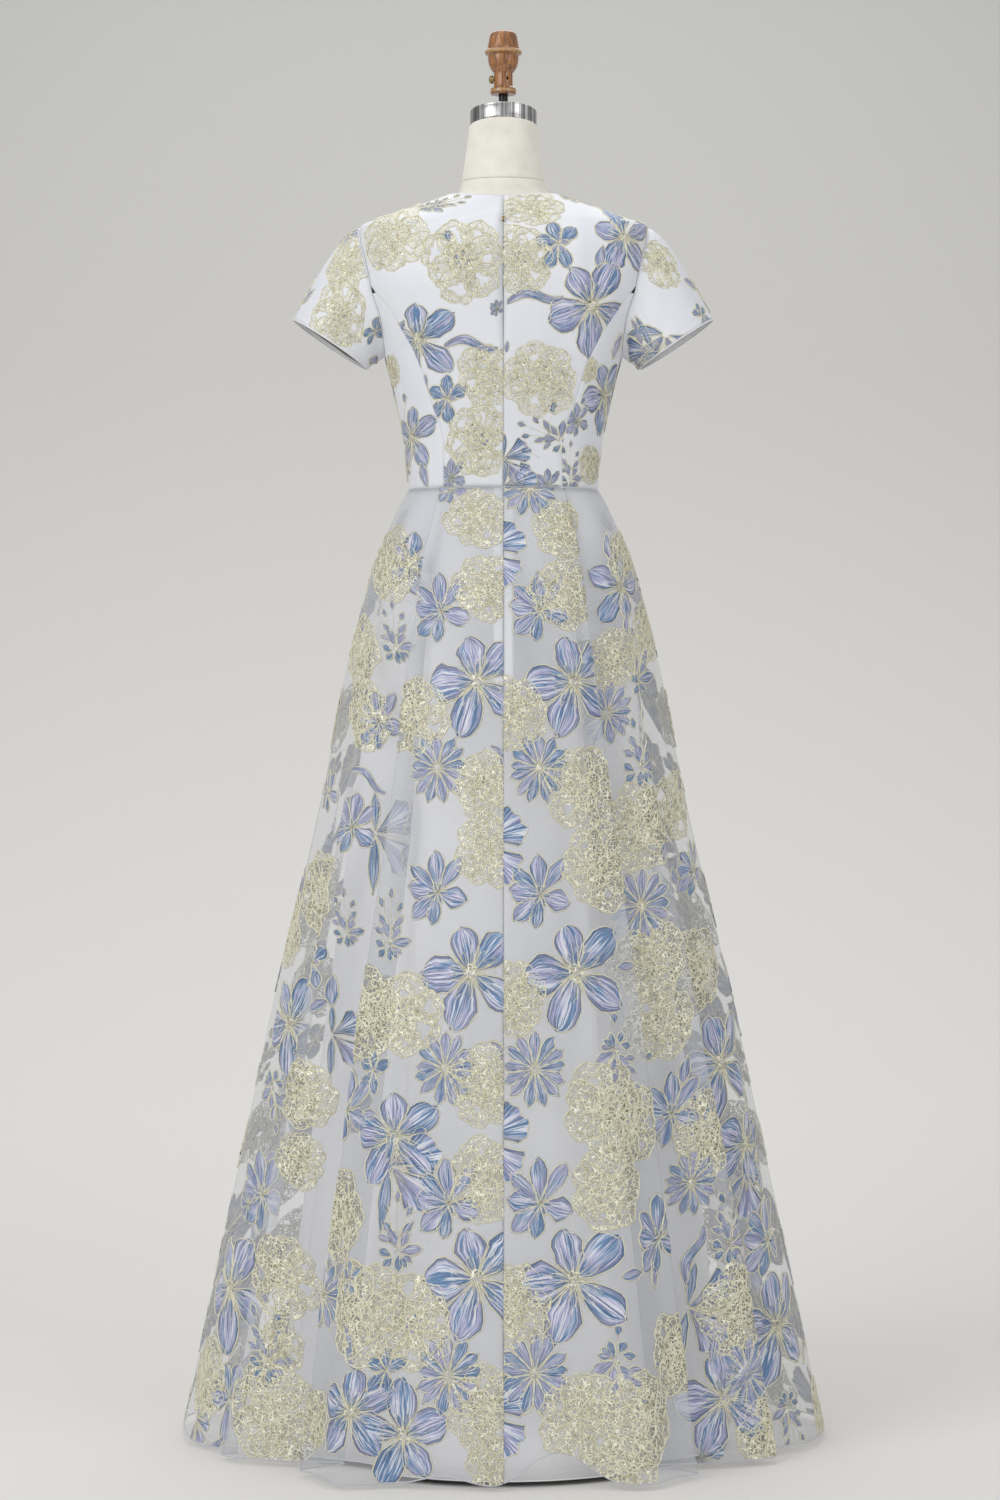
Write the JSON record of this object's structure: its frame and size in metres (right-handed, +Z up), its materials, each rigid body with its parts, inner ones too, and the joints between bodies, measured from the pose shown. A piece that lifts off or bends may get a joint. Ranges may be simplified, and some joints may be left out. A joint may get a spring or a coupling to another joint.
{
  "type": "maxi dress on a dress form",
  "caption": "Floor-length short-sleeved organza dress with a pleated, lined skirt, on a canvas dress form with a wooden finial, standing on a pole and a round foot.",
  "frame": {"origin": "on the floor, at the middle of the round foot's underside, below the pole", "axes": "+Z up along the pole, -Y toward the back of the dress with its zip, +X toward the wearer's right side"},
  "size_m": [0.778, 0.7834, 1.704],
  "materials": {
    "organza": "sheer, with woven flowers",
    "bodice_cloth": "organza over white lining",
    "lining": "smooth white",
    "canvas": "plain cream canvas",
    "steel": "brushed",
    "black_steel": "satin black",
    "wood": "varnished"
  },
  "bodies": {
    "dress_and_form": {"bodice_front": "bodice_cloth", "bodice_back_right": "bodice_cloth", "bodice_back_left": "bodice_cloth", "bodice_side_back_right": "bodice_cloth", "bodice_side_back_left": "bodice_cloth", "sleeve_right": "bodice_cloth", "sleeve_left": "bodice_cloth", "skirt_back_right": "organza", "skirt_back_left": "organza", "skirt_front_right": "organza", "skirt_front_left": "organza", "lining_back_right": "lining", "lining_back_left": "lining", "lining_front_right": "lining", "lining_front_left": "lining", "zip_tape": "lining", "zip_slider": "steel", "form_torso": "canvas", "form_neck": "canvas", "neck_band": "steel", "finial_stem": "black_steel", "finial": "wood", "stand_pole": "black_steel", "stand_foot": "black_steel"},
    "screw": {"finial_screw": "steel"}
  },
  "joints": [
    {"name": "finial_screw_turn", "type": "hinge", "parent": "dress_and_form", "child": "screw", "pos_m": [-0.012, 0.008, 1.645], "axis": [-1, 0, 0], "continuous": true}
  ]
}
